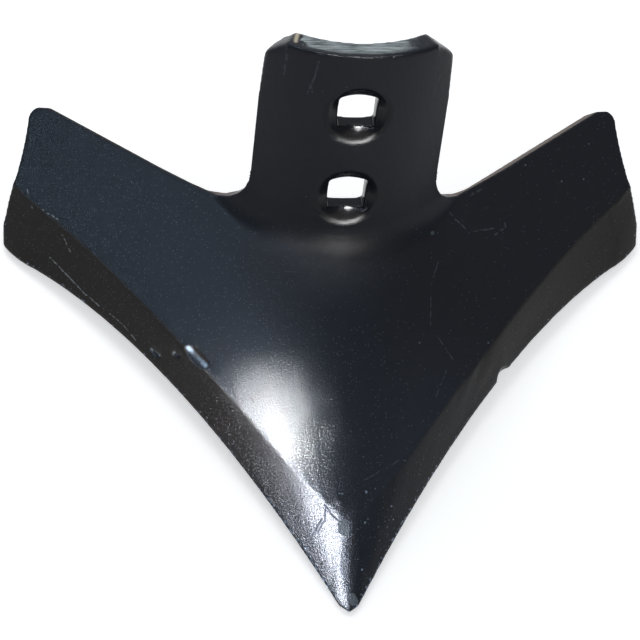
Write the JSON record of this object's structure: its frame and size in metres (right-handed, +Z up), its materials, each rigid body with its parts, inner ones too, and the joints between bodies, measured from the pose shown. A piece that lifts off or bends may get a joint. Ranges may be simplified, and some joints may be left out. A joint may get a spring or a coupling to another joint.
{
  "type": "cultivator sweep",
  "caption": "Duck-foot cultivator sweep pressed from steel plate: crowned nose, swept wings with bevelled cutting edges, arched stem with square countersunk bolt holes.",
  "frame": {"origin": "on the ground, under the middle of the part's box, with the sweep in its working position", "axes": "+Z up; -Y the way the point faces and travels; +X across the wings, to the right in a view from the front"},
  "size_m": [0.2262, 0.179, 0.1132],
  "materials": {
    "dipped_paint": "glossy blue-black dipped paint over steel, bare at the sheared end of the stem"
  },
  "bodies": {
    "root": {"sweep": "dipped_paint"}
  },
  "joints": []
}
